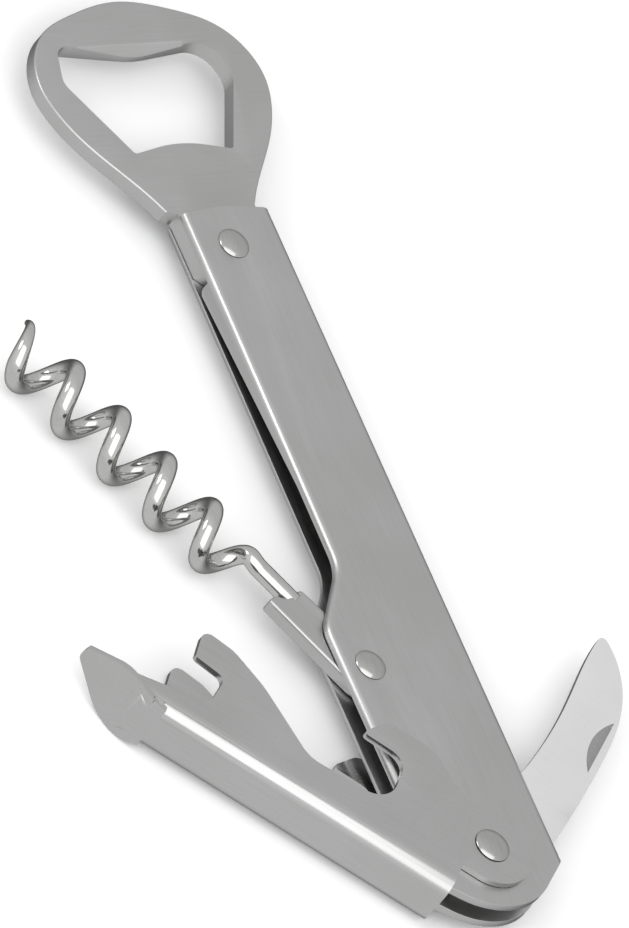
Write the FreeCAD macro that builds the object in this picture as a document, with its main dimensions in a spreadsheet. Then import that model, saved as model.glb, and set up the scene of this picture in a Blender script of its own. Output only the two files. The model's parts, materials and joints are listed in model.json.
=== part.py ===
"""Lever corkscrew: a folding, all-steel waiter's corkscrew in millimetres.

The handle frame has its origin on the lever rivet's axis, +X along the handle
towards the bottle opener, +Y towards the worm and the lever, +Z out of the
front plate. The row frame is the same one moved by frame_x, frame_y, frame_z,
so that its origin is under the middle of the object. Every folding piece is
drawn along +X about its own rivet and is then turned to its open rest angle.
"""
import FreeCAD, Part
import math
import os

import Sketcher
from FreeCAD import Placement, Rotation, Vector

SIZES = (
    # alias, value, what it is
    ("frame_x", -67.65, "row origin to lever rivet, along the handle"),
    ("frame_y", -6.75, "row origin to lever rivet, across the handle"),
    ("frame_z", 5.2, "resting plane to mid-plane"),
    # handle channel
    ("handle_end", 108.1, "lever rivet to the channel's opener end"),
    ("handle_tail", 9.4, "lever rivet to the rounded tail"),
    ("tail_radius", 13.4, "radius of the rounded tail on the slot side"),
    ("tail_spine_radius", 10.5, "radius of the rounded tail on the spine side"),
    ("spine_corner", 1.9, "lever rivet back to the spine's corner at the tail"),
    ("spine_side", 12.6, "lever rivet to the spine's outer face"),
    ("slot_side", 10.7, "lever rivet to the slot edge at the lever end"),
    ("recess_side", 3.9, "lever rivet to the recessed edge beside the worm"),
    ("recess_taper", 0.7, "how much the recessed edge falls to the opener end"),
    ("recess_start", 48.2, "lever rivet to the foot of the shoulder"),
    ("shoulder_run", 9.6, "length of the sloping shoulder"),
    ("sheet", 1.3, "wall of the channel"),
    ("channel_gap", 2.8, "free width between the two plates"),
    ("edge_round", 1.1, "rounding of the slot-side edges"),
    ("spine_round", 1.6, "outside bend of the spine"),
    ("knife_slot_end", 56.0, "end of the open part of the spine"),
    ("lip_inset", 11.1, "channel end back to the pinched lip's end"),
    ("lip_length", 34.5, "length of the pinched lip"),
    ("lip_reach", 2.3, "how far the lip closes the slot"),
    ("lip_width", 1.4, "wall of the lip"),
    # rivets
    ("pin_radius", 1.5, "shank of the opener and worm rivets"),
    ("head_radius", 2.45, "head of the opener and worm rivets"),
    ("head_rise", 0.85, "dome of every rivet head"),
    ("lever_pin_radius", 1.6, "shank of the lever rivet"),
    ("lever_head_radius", 2.7, "head of the lever rivet"),
    ("pin_play", 0.05, "running clearance round a rivet"),
    ("side_play", 0.05, "running clearance beside a washer or head"),
    ("opener_rivet_inset", 5.6, "channel end back to the opener rivet"),
    ("opener_rivet_y", -3.2, "opener rivet, across the handle"),
    ("worm_rivet_x", 31.6, "worm rivet, along the handle"),
    ("worm_rivet_y", 6.05, "worm rivet, across the handle"),
    # bottle opener
    ("opener_play", 0.1, "clearance between the opener's tang and each plate"),
    ("opener_centre_y", -3.1, "centre line of the opener"),
    ("head_length", 35.4, "channel end to the top of the opener head"),
    ("head_half_width", 20.1, "half width of the opener head"),
    ("tang_length", 10.6, "tang inside the channel"),
    ("tang_play", 0.2, "tang to spine and to slot edge"),
    ("mouth_low", 11.0, "channel end to the fulcrum edge"),
    ("mouth_high", 27.6, "channel end to the cap tongue"),
    ("mouth_rim", 5.7, "edge of the head to the mouth at its widest"),
    ("tongue_bevel", 1.8, "length of the coined bevel on the tongue"),
    ("bevel_centre_y", -1.9, "centre line of the coined bevel"),
    ("bevel_half_width", 9.5, "half width of the coined bevel"),
    ("rim_round", 0.3, "rounding of the opener's outline"),
    # worm and its bracket
    ("worm_angle", 28.7, "worm at rest, from the handle"),
    ("wire", 2.8, "wire of the worm"),
    ("coil_outside", 9.9, "outside of the coil"),
    ("coil_pitch", 9.15, "pitch of the coil"),
    ("coil_start", 20.5, "worm rivet to the first bend"),
    ("coil_turns", 5.22, "turns from the first bend to the point"),
    ("coil_ease", 0.85, "turns over which the coil opens out"),
    ("point_radius", 0.5, "wire radius at the very point"),
    ("coil_phase", 63.0, "angle round the coil's axis at the first bend"),
    ("coil_offset", 2.5, "worm rivet's line to the coil's axis"),
    ("shank_offset", -0.7, "worm rivet's line to the straight shank"),
    ("tail_thick", 0.9, "flattened tail inside the bracket"),
    ("bracket_thick", 2.5, "outside of the folded bracket"),
    ("bracket_length", 16.4, "worm rivet to the bracket's far end"),
    ("bracket_web", 3.8, "worm rivet's line to the bracket's fold"),
    ("bracket_sheet", 0.8, "sheet of the bracket"),
    ("bracket_fold", 0.45, "outside bend of the bracket's fold"),
    ("shank_hold", 2.4, "length of shank inside the bracket"),
    ("shank_play", 0.02, "clearance round the shank in the bracket"),
    # lever
    ("lever_angle", 48.0, "lever at rest, from the handle"),
    ("lever_width", 9.7, "outside of the lever's channel"),
    ("lever_sheet", 1.0, "sheet of the lever"),
    ("lever_web", 12.7, "lever rivet's line to the web's outer face"),
    ("lever_round", 2.8, "outside bend between web and flanges"),
    ("ledge_height", 7.0, "lever rivet's line to the ledge over the ears"),
    ("ear_radius", 6.4, "rounded ears at the rivet"),
    ("ear_play", 0.1, "gap between an ear and its plate"),
    ("tongue_start", 54.5, "lever rivet to the bend of the tip"),
    ("tongue_end", 64.8, "lever rivet to the end of the tip"),
    ("tongue_slope", 0.56, "fall of the tip for each millimetre"),
    ("flare_half_width", 5.2, "half width of the tip where it spreads"),
    # foil knife
    ("knife_angle", -47.5, "knife at rest, from the handle"),
    ("blade_length", 52.7, "lever rivet to the blade's point"),
    ("blade_back", 8.7, "rivet's line to the blade's back"),
    ("blade_thick", 1.4, "blade at its root"),
    ("blade_relief", 0.12, "step of the ground faces, each side"),
    ("grind_start", 17.2, "lever rivet to the ground faces"),
    ("nick_depth", 0.55, "depth of the nail nick at its straight side"),
    ("nick_width", 1.55, "width of the nail nick"),
    ("tip_round", 0.8, "rounding of the blade's point"),
    ("washer_radius", 4.6, "washers beside the blade"),
)

OPENER_RIVET_X = "sizes.handle_end - sizes.opener_rivet_inset"

doc = FreeCAD.newDocument("lever_corkscrew")
sheet = doc.addObject("Spreadsheet::Sheet", "sizes")
for row, (alias, value, note) in enumerate(SIZES, start=1):
    sheet.set("A%d" % row, alias)
    sheet.set("B%d" % row, str(value))
    sheet.setAlias("B%d" % row, alias)
    sheet.set("C%d" % row, note)
doc.recompute()


def size(alias):
    """Value of one named cell."""
    return float(sheet.get(alias))


# ---------------------------------------------------------------- outlines

def rounded(corners):
    """Closed outline of lines and tangent arcs from (x, y, corner radius)."""
    count = len(corners)
    starts, ends, arcs = [], [], []
    for i, (x, y, radius) in enumerate(corners):
        here = Vector(x, y, 0)
        before = Vector(corners[i - 1][0], corners[i - 1][1], 0) - here
        after = Vector(corners[(i + 1) % count][0], corners[(i + 1) % count][1], 0) - here
        before.normalize()
        after.normalize()
        half = before.getAngle(after) / 2
        if radius <= 0 or half > math.radians(89.9):
            starts.append(here)
            ends.append(here)
            arcs.append(None)
            continue
        reach = radius / math.tan(half)
        middle = before + after
        middle.normalize()
        centre = here + middle * (radius / math.sin(half))
        starts.append(here + before * reach)
        ends.append(here + after * reach)
        arcs.append(centre - middle * radius)
    pieces = []
    for i in range(count):
        if arcs[i] is not None:
            pieces.append(Part.Arc(starts[i], arcs[i], ends[i]))
        following = starts[(i + 1) % count]
        if ends[i].distanceToPoint(following) > 1e-6:
            pieces.append(Part.LineSegment(ends[i], following))
    return pieces


def smooth(points):
    """One curve through points given as (x, y)."""
    curve = Part.BSplineCurve()
    curve.interpolate([Vector(x, y, 0) for x, y in points])
    return curve


def mirrored(points, middle):
    """Points of (x, distance from the middle) on both sides of y = middle."""
    upper = [(x, middle + away) for x, away in points]
    lower = [(x, middle - away) for x, away in reversed(points)]
    return upper, lower


# ---------------------------------------------------------------- features

def plane_of(body, role):
    """Origin plane of a body by its role."""
    return next(f for f in body.Origin.OriginFeatures if f.Role == role)


def add_body(label, place_x="0", place_y="0", angle="0", axis=Vector(0, 0, 1)):
    """A body whose own origin goes to a rivet and is turned about it."""
    body = doc.addObject("PartDesign::Body", label)
    body.Label = label
    body.Placement = Placement(Vector(0, 0, 0), Rotation(axis, 1.0))
    body.setExpression(".Placement.Base.x", "sizes.frame_x + %s" % place_x)
    body.setExpression(".Placement.Base.y", "sizes.frame_y + %s" % place_y)
    body.setExpression(".Placement.Base.z", "sizes.frame_z")
    body.setExpression(".Placement.Rotation.Angle", "1 deg * (%s)" % angle)
    return body


def add_sketch(body, name, role, pieces, height="0"):
    """Sketch on an origin plane, lifted along the row's own direction."""
    sketch = body.newObject("Sketcher::SketchObject", name)
    sketch.AttachmentSupport = (plane_of(body, role), "")
    sketch.MapMode = "FlatFace"
    sign = "-" if role == "XZ_Plane" else ""
    sketch.setExpression(".AttachmentOffset.Base.z", "%s(%s)" % (sign, height))
    sketch.addGeometry(pieces, False)
    return sketch


def slab(body, kind, name, role, pieces, low, high):
    """Pad or Pocket of an outline between two heights over its plane."""
    sketch = add_sketch(body, name + "_outline", role, pieces, "(%s + %s) / 2" % (low, high))
    feature = body.newObject("PartDesign::" + kind, name)
    feature.Profile = sketch
    feature.Midplane = True
    feature.setExpression("Length", "%s - (%s)" % (high, low))
    sketch.Visibility = False
    doc.recompute()
    return feature


def pin_hole(body, name, x, y, radius, reach="lever_width"):
    """Round hole along Z through the whole piece, bound to its sizes."""
    circle = Part.Circle(Vector(1, 1, 0), Vector(0, 0, 1), 1)
    sketch = add_sketch(body, name + "_circle", "XY_Plane", [circle])
    for kind, bound in (("DistanceX", x), ("DistanceY", y)):
        index = sketch.addConstraint(Sketcher.Constraint(kind, 0, 3, 1.0))
        sketch.setExpression("Constraints[%d]" % index, bound)
    index = sketch.addConstraint(Sketcher.Constraint("Radius", 0, 1.0))
    sketch.setExpression("Constraints[%d]" % index, radius)
    hole = body.newObject("PartDesign::Pocket", name)
    hole.Profile = sketch
    hole.Midplane = True
    hole.setExpression("Length", "2 * sizes.%s" % reach)
    sketch.Visibility = False
    doc.recompute()
    return hole


def edges_where(feature, test):
    """Names of a feature's edges whose points all pass a test."""
    names = []
    for index, edge in enumerate(feature.Shape.Edges, start=1):
        low, high = edge.ParameterRange
        points = [edge.valueAt(low + (high - low) * k / 4) for k in range(5)]
        if all(test(p) for p in points):
            names.append("Edge%d" % index)
    return names


def round_edges(body, base, name, kind, amount, test):
    """Fillet or Chamfer on the edges that pass a test."""
    feature = body.newObject("PartDesign::" + kind, name)
    feature.Base = (base, edges_where(base, test))
    feature.setExpression("Radius" if kind == "Fillet" else "Size", amount)
    doc.recompute()
    return feature


def box_outline(x_low, y_low, x_high, y_high):
    """Rectangle between two corners."""
    return rounded([(x_low, y_low, 0), (x_high, y_low, 0), (x_high, y_high, 0), (x_low, y_high, 0)])


# ------------------------------------------------------------ the channel

def handle_outline():
    """Side of the folded handle: rounded tail, shoulder, recessed edge."""
    end, tail, radius = size("handle_end"), size("handle_tail"), size("tail_radius")
    spine, slot, recess = -size("spine_side"), size("slot_side"), size("recess_side")
    foot = size("recess_start")
    half_turn = math.radians(17.5)
    side = radius * math.tan(half_turn)
    crown, crown_radius = 0.8, 12
    tip = recess - size("recess_taper")
    drop = math.radians(35)
    slot_corner = -tail + (slot - side) * math.tan(drop)
    return rounded([
        (end, spine, 0),
        (end + crown, (spine + tip) / 2, crown_radius),
        (end, tip, 0),
        (foot, recess, 8),
        (foot - size("shoulder_run"), slot, 6),
        (slot_corner, slot, 0),
        (-tail, side - 0.1, radius),
        (-tail, -side - 0.1, size("tail_spine_radius")),
        (-size("spine_corner"), spine, 0),
    ])


def make_channel():
    """One folded sheet: two plates, a spine and a slot for the pieces."""
    body = add_body("handle_channel")
    thick = "(sizes.channel_gap + 2 * sizes.sheet)"
    outline = slab(body, "Pad", "plates", "XY_Plane", handle_outline(), "-%s / 2" % thick, "%s / 2" % thick)
    half = size("channel_gap") / 2 + size("sheet")
    spine, slot = -size("spine_side"), size("slot_side")
    far = 2 * size("handle_end")
    outer = lambda p: abs(abs(p.z) - half) < 1e-4
    on_spine = lambda p: outer(p) and abs(p.y - spine) < 1e-4
    on_end = lambda p: p.x > size("handle_end") - 1e-4
    on_tail = lambda p: p.y < slot - 0.02 and p.x < 0
    on_slot = lambda p: (outer(p) and p.y > size("recess_side") - 1 and not on_end(p)
                         and not on_tail(p))
    bent = round_edges(body, outline, "spine_bend", "Fillet", "sizes.spine_round", on_spine)
    rolled = round_edges(body, bent, "slot_roll", "Fillet", "sizes.edge_round", on_slot)
    gap = size("channel_gap") / 2
    inside = box_outline(-far, -gap, far, gap)
    slab(body, "Pocket", "inside", "XZ_Plane", inside,
         "sizes.sheet - sizes.spine_side", "sizes.recess_side - sizes.lip_width")
    knife_slot = box_outline(-far, -gap, size("knife_slot_end"), gap)
    slab(body, "Pocket", "knife_slot", "XZ_Plane", knife_slot, "-2 * sizes.spine_side", "0")
    stop, reach = size("handle_end") - size("lip_inset"), size("lip_reach")
    start = stop - size("lip_length")
    mouth = rounded([
        (-far, -gap, 0), (far, -gap, 0), (far, gap, 0),
        (stop, gap, 0), (stop, gap - reach, 1.0), (start, gap, 6), (-far, gap, 0),
    ])
    slab(body, "Pocket", "mouth", "XZ_Plane", mouth,
         "sizes.recess_side - sizes.lip_width", "2 * sizes.spine_side")
    pin_hole(body, "opener_hole", OPENER_RIVET_X, "sizes.opener_rivet_y", "sizes.pin_radius")
    pin_hole(body, "worm_hole", "sizes.worm_rivet_x", "sizes.worm_rivet_y", "sizes.pin_radius")
    pin_hole(body, "lever_hole", "0", "0", "sizes.lever_pin_radius")
    return body


# ------------------------------------------------------------- the opener

def opener_head():
    """Half outline of the head as (x, half width), from neck to crown."""
    neck, top, wide = size("handle_end") + 1.2, size("head_length"), size("head_half_width")
    return [
        (neck, 0.40 * wide),
        (neck + 0.13 * top, 0.55 * wide),
        (neck + 0.34 * top, 0.83 * wide),
        (neck + 0.49 * top, 0.96 * wide),
        (neck + 0.61 * top, wide),
        (neck + 0.74 * top, 0.95 * wide),
        (neck + 0.86 * top, 0.79 * wide),
        (neck + 0.95 * top, 0.45 * wide),
    ]


def opener_mouth():
    """The cap opening: fulcrum edge, flaring sides and the tongue."""
    end, mid = size("handle_end"), size("opener_centre_y")
    wide = size("head_half_width") - size("mouth_rim")
    low, high = end + size("mouth_low"), end + size("mouth_high")
    corners = [
        (low, 0.61 * wide, 0.7),
        (high - 4.2, 1.10 * wide, 2.6),
        (high + 2.1, 0.99 * wide, 2.2),
        (high + 0.2, 0.0, 18.0),
        (high + 1.8, -0.90 * wide, 4.4),
        (high - 4.2, -1.02 * wide, 5.0),
        (low, -0.61 * wide, 0.7),
        (low + 1.8, 0.0, 22.0),
    ]
    return rounded([(x, mid + away, radius) for x, away, radius in corners])


def make_opener():
    """Flat opener plate with its tang between the handle's plates."""
    body = add_body("bottle_opener")
    mid, end = size("opener_centre_y"), size("handle_end")
    upper, lower = mirrored(opener_head(), mid)
    crown = (end + size("head_length") + 1.2, mid)
    head = smooth(upper + [crown] + lower)
    play = size("tang_play")
    tang_low = size("sheet") - size("spine_side") + play
    tang_high = size("recess_side") - size("recess_taper") - play
    tang_start = end - size("tang_length")
    neck = end + 0.6
    tang = [upper[0], (neck, tang_high), (tang_start + 2, tang_high), (tang_start, tang_high - 2),
            (tang_start, tang_low + 2), (tang_start + 2, tang_low), (neck, tang_low), lower[-1]]
    lines = [Part.LineSegment(Vector(a[0], a[1], 0), Vector(b[0], b[1], 0))
             for a, b in zip(tang[-1:0:-1], tang[-2::-1])]
    half = "(sizes.channel_gap / 2 - sizes.opener_play)"
    plate = slab(body, "Pad", "plate", "XY_Plane", [head] + lines, "-" + half, half)
    face = size("channel_gap") / 2 - size("opener_play")
    rim = lambda p: abs(abs(p.z) - face) < 1e-4 and p.x > end + 1
    round_edges(body, plate, "rim", "Fillet", "sizes.rim_round", rim)
    slab(body, "Pocket", "cap_mouth", "XY_Plane", opener_mouth(), "-" + half, half)
    tip = end + size("mouth_high")
    bevel = size("tongue_bevel")
    foot = tip + bevel - 3 * face
    wedge = rounded([(tip + bevel, face, 0), (foot, face, 0), (foot, -2 * face, 0)])
    slab(body, "Pocket", "coined_bevel", "XZ_Plane", wedge,
         "sizes.bevel_centre_y - sizes.bevel_half_width", "sizes.bevel_centre_y + sizes.bevel_half_width")
    pin_hole(body, "rivet_hole", OPENER_RIVET_X, "sizes.opener_rivet_y", "sizes.pin_radius")
    return body


# -------------------------------------------------------------- the rivets

def make_rivet(label, x, y, shank, head, seat):
    """Domed rivet along Z: shank radius, head radius, height of its seats."""
    body = add_body(label, x, y)
    rise, radius, wide, base = size("head_rise"), size(shank), size(head), size_of(seat)
    shoulder = math.sqrt(0.5)
    pieces = [Part.LineSegment(Vector(0, -base - rise, 0), Vector(0, base + rise, 0))]
    for side in (1, -1):
        dome = Part.Arc(Vector(0, side * (base + rise), 0),
                        Vector(wide * shoulder, side * (base + rise * shoulder), 0),
                        Vector(wide, side * base, 0))
        pieces.append(dome)
        pieces.append(Part.LineSegment(Vector(wide, side * base, 0), Vector(radius, side * base, 0)))
    pieces.append(Part.LineSegment(Vector(radius, -base, 0), Vector(radius, base, 0)))
    sketch = add_sketch(body, "profile", "XZ_Plane", pieces)
    turned = body.newObject("PartDesign::Revolution", "turned")
    turned.Profile = sketch
    turned.ReferenceAxis = (sketch, ["V_Axis"])
    turned.Angle = 360
    sketch.Visibility = False
    return body


def size_of(text):
    """Value of an expression such as 'channel_gap / 2 + sheet'."""
    total = 0.0
    for term in text.split("+"):
        factor, _, divisor = term.strip().partition("/")
        total += size(factor.strip()) / (float(divisor) if divisor else 1.0)
    return total


# ---------------------------------------------------------- worm, bracket

def worm_path(turn):
    """Centre of the wire after some turns, eased out of the straight shank."""
    radius = (size("coil_outside") - size("wire")) / 2
    ease = min(turn / size("coil_ease"), 1.0)
    grown = ease * ease * (3 - 2 * ease)
    axis_at = size("shank_offset") + (size("coil_offset") - size("shank_offset")) * grown
    turned = math.radians(size("coil_phase")) + 2 * math.pi * turn
    across = axis_at + radius * grown * math.cos(turned)
    return Vector(size("coil_start") + size("coil_pitch") * turn, across, radius * grown * math.sin(turned))


def wire_span(points, first_radius, last_radius):
    """Round wire along a smooth line, with a radius at each end."""
    line = Part.BSplineCurve()
    line.interpolate(points)
    sweep = Part.BRepOffsetAPI.MakePipeShell(Part.Wire([line.toShape()]))
    sweep.setFrenetMode(False)
    ends = [(line.FirstParameter, first_radius)]
    if abs(last_radius - first_radius) > 1e-6:
        ends.append((line.LastParameter, last_radius))
    for place, radius in ends:
        circle = Part.Circle(line.value(place), line.tangent(place)[0], radius)
        sweep.add(Part.Wire([circle.toShape()]), False, False)
    sweep.build()
    sweep.makeSolid()
    return sweep.shape()


def make_worm():
    """Right-handed open coil with a pointed end and a flattened tail."""
    radius, turns = size("wire") / 2, size("coil_turns")
    steps_per_turn, point_steps = 16, 12
    point_turns, point_radius = 0.4, size("point_radius")
    overlap_turns, shoulder = 0.03, 0.985
    straight, start = size("shank_offset"), size("coil_start")
    shank = size("bracket_length") - size("shank_hold")
    lead = [Vector(shank + part * (start - shank), straight, 0) for part in (0, 0.5, 0.85)]
    body_steps = int((turns - point_turns) * steps_per_turn)
    coil_end = body_steps / steps_per_turn
    body_line = lead + [worm_path(k / steps_per_turn) for k in range(body_steps + 1)]
    point_start = coil_end - overlap_turns
    point_line = [worm_path(point_start + (turns - point_start) * k / point_steps)
                  for k in range(point_steps + 1)]
    coil = wire_span(body_line, radius, radius)
    point = wire_span(point_line, radius * shoulder, point_radius)
    flat = size("tail_thick")
    height = 2 * radius * 0.85
    tail = Part.makeBox(shank + 1.0, height, flat, Vector(0, straight - height / 2, -flat / 2))
    eye = Part.makeCylinder(2.6, flat, Vector(0, 0, -flat / 2))
    hole = Part.makeCylinder(size("pin_radius") + size("pin_play"), flat * 3, Vector(0, 0, -flat * 1.5))
    worm = doc.addObject("Part::Feature", "worm")
    worm.Label = "worm"
    worm.Shape = coil.fuse([point, tail, eye]).cut(hole)
    worm.Placement = Placement(Vector(0, 0, 0), Rotation(Vector(0, 0, 1), 1.0))
    worm.setExpression(".Placement.Base.x", "sizes.frame_x + sizes.worm_rivet_x")
    worm.setExpression(".Placement.Base.y", "sizes.frame_y + sizes.worm_rivet_y")
    worm.setExpression(".Placement.Base.z", "sizes.frame_z")
    worm.setExpression(".Placement.Rotation.Angle", "1 deg * sizes.worm_angle")
    return worm


def make_bracket():
    """Folded clip that holds the worm's tail on its rivet."""
    body = add_body("worm_bracket", "sizes.worm_rivet_x", "sizes.worm_rivet_y", "sizes.worm_angle")
    far, web = size("bracket_length"), size("bracket_web")
    inner, eye = -2.8, 3.4
    outline = rounded([
        (-eye, inner - 0.4, eye - 0.1), (eye, inner - 0.4, 9), (far - 1.7, inner + 0.3, 0.7),
        (far - 1.6, 0.9, 1.4), (far, 2.0, 1.2), (far, web, 0.5), (-eye, web, eye - 0.1),
    ])
    half = "sizes.bracket_thick / 2"
    clip = slab(body, "Pad", "clip", "XY_Plane", outline, "-" + half, half)
    face = size("bracket_thick") / 2
    fold = lambda p: abs(abs(p.z) - face) < 1e-4 and abs(p.y - web) < 1e-4
    round_edges(body, clip, "fold", "Fillet", "sizes.bracket_fold", fold)
    gap = size("tail_thick") / 2
    inside = box_outline(-2 * far, -gap, 2 * far, gap)
    slab(body, "Pocket", "inside", "XZ_Plane", inside, "-3 * sizes.bracket_web",
         "sizes.bracket_web - sizes.bracket_sheet")
    seat = size("wire") / 2 + size("shank_play")
    centre = Part.Circle(Vector(size("shank_offset"), 0, 0), Vector(0, 0, 1), seat)
    shank = add_sketch(body, "shank_circle", "YZ_Plane", [centre], "sizes.bracket_length")
    bore = body.newObject("PartDesign::Pocket", "shank_bore")
    bore.Profile = shank
    bore.Midplane = True
    bore.setExpression("Length", "2 * sizes.shank_hold")
    doc.recompute()
    pin_hole(body, "rivet_hole", "0", "0", "sizes.pin_radius + sizes.pin_play")
    return body


# --------------------------------------------------------------- the lever

def flange_outline():
    """Side of the lever: ears, two hooked steps, and the edge to the tip."""
    web, ear, bend = size("lever_web"), size("ear_radius"), size("tongue_start")
    slope = size("tongue_slope")
    foot = bend + 3.9
    return rounded([
        (3.4, web, 0), (3.4, ear, 0.5), (-ear, ear, ear - 0.1), (-ear, -5.7, 5.5),
        # lower step
        (7.6, -5.5, 7), (13.6, -9.3, 7), (20.9, -9.0, 2.2), (23.9, -4.6, 0.6),
        (16.3, -4.4, 2.6), (16.5, 5.1, 4.4),
        # upper step
        (29.8, 5.6, 5), (39.6, -1.7, 14), (45.5, -4.6, 5), (50.8, -5.2, 1.5),
        (50.5, 0.4, 0.6), (45.3, 1.1, 1.3), (46.1, 6.8, 2.0),
        (52.8, 8.6, 3), (foot, web - slope * (foot - bend) - 0.6, 0),
        (foot, web - slope * (foot - bend) - 0.1, 0), (bend, web, 0),
    ])


def strip_outline():
    """Curled tip seen from the side, one sheet thick, from the end of the bends."""
    web, wall, bend, end = size("lever_web"), size("lever_sheet"), size("tongue_start"), size("tongue_end")
    slope = size("tongue_slope")
    fall = slope * (end - bend)
    lean = math.hypot(1, slope)
    return rounded([
        (bend - 3, web, 0), (bend, web, 9), (end, web - fall, 0),
        (end - wall * slope / lean, web - fall - wall / lean, 0),
        (bend - wall * slope / 2, web - wall, 8), (bend - 3, web - wall, 0),
    ])


def make_lever():
    """Folded lever: web, two flanges with joggled ears, curled tip."""
    body = add_body("lever", angle="sizes.lever_angle")
    half, wall, web = size("lever_width") / 2, size("lever_sheet"), size("lever_web")
    bend, turn, ledge = size("tongue_start"), size("lever_round"), size("ledge_height")
    ear_out = size("channel_gap") / 2 + size("sheet") + size("ear_play") + wall
    side = "sizes.lever_width / 2"
    flanges = slab(body, "Pad", "flanges", "XY_Plane", flange_outline(), "-" + side, side)
    corner = lambda p: abs(abs(p.z) - half) < 1e-4 and abs(p.y - web) < 1e-4
    round_edges(body, flanges, "web_bend", "Fillet", "sizes.lever_round", corner)
    far = 2 * bend
    joggle_low, joggle_high, joggle_round = 5.0, 11.5, 5.0
    for sign in (1, -1):
        outer = [(-far, sign * ear_out, 0), (joggle_low, sign * ear_out, joggle_round),
                 (joggle_high, sign * half, joggle_round), (far, sign * half, 0),
                 (far, sign * 2 * half, 0), (-far, sign * 2 * half, 0)]
        name = "ear_front" if sign > 0 else "ear_back"
        slab(body, "Pocket", name, "XZ_Plane", rounded(outer), "-2 * sizes.lever_web", "sizes.ledge_height")
    ear_in, flange_in = ear_out - wall, half - wall
    low, high = joggle_low + wall / 2, joggle_high + wall / 2
    inside = rounded([
        (-far, -ear_in, 0), (low, -ear_in, joggle_round), (high, -flange_in, joggle_round),
        (far, -flange_in, 0), (far, flange_in, 0),
        (high, flange_in, joggle_round), (low, ear_in, joggle_round), (-far, ear_in, 0),
    ])
    slab(body, "Pocket", "inside", "XZ_Plane", inside, "-2 * sizes.lever_web",
         "sizes.ledge_height + sizes.lever_sheet")
    under_web = rounded([
        (ledge + wall, -flange_in, 0), (web - wall, -flange_in, turn - wall),
        (web - wall, flange_in, turn - wall), (ledge + wall, flange_in, 0),
    ])
    slab(body, "Pocket", "under_web", "YZ_Plane", under_web,
         "-2 * sizes.tongue_start", "2 * sizes.tongue_start")
    slab(body, "Pad", "strip", "XY_Plane", strip_outline(), "-sizes.flare_half_width", "sizes.flare_half_width")
    end, wide = size("tongue_end"), size("flare_half_width")
    for sign in (1, -1):
        plan = [(bend - 4, sign * half, 0), (bend - 0.5, sign * half, 6), (bend + 1.8, sign * wide, 3),
                (bend + 4.6, sign * wide * 0.93, 5), (end, sign * wide * 0.18, 1.2), (end, 0, 0),
                (end + 5, 0, 0), (end + 5, sign * 3 * wide, 0), (bend - 4, sign * 3 * wide, 0)]
        name = "tip_front" if sign > 0 else "tip_back"
        slab(body, "Pocket", name, "XZ_Plane", rounded(plan), "-2 * sizes.lever_web", "2 * sizes.lever_web")
        # the tip's start is narrowed to the width that the bends leave at one sheet's depth
        kept = half - turn + math.sqrt(turn ** 2 - (turn - wall) ** 2)
        start = [(bend - 4, sign * kept, 0), (bend - 2.9, sign * kept, 0), (bend - 0.6, sign * half, 0),
                 (bend - 0.6, sign * 3 * wide, 0), (bend - 4, sign * 3 * wide, 0)]
        name = "start_front" if sign > 0 else "start_back"
        slab(body, "Pocket", name, "XZ_Plane", rounded(start),
             "sizes.lever_web - sizes.lever_sheet", "2 * sizes.lever_web")
    pin_hole(body, "rivet_hole", "0", "0", "sizes.lever_pin_radius + sizes.pin_play")
    return body


# --------------------------------------------------------------- the knife

def cut_nick(body):
    """Nail nick: deepest at its straight side, rising to its curved side."""
    tip, back = size("blade_length"), size("blade_back")
    depth, width = size("nick_depth"), size("nick_width")
    slope = math.atan2(depth, width)
    floor = math.hypot(depth, width)
    start, stop = Vector(0.52 * tip, 0, 0), Vector(0.74 * tip, 0, 0)
    moon = [Part.LineSegment(start, stop), Part.Arc(stop, Vector(0.63 * tip, floor, 0), start)]
    sketch = add_sketch(body, "nick_outline", "XY_Plane", moon)
    sketch.setExpression(".AttachmentOffset.Base.z", None)
    rise = 2 * depth
    face = size("blade_thick") / 2 - size("blade_relief")
    foot = Vector(0, -0.85 * back - rise / 2 * math.sin(slope), face - depth + rise / 2 * math.cos(slope))
    sketch.AttachmentOffset = Placement(foot, Rotation(Vector(1, 0, 0), math.degrees(slope)))
    nick = body.newObject("PartDesign::Pocket", "nail_nick")
    nick.Profile = sketch
    nick.Midplane = True
    nick.Length = rise
    sketch.Visibility = False
    doc.recompute()


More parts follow.
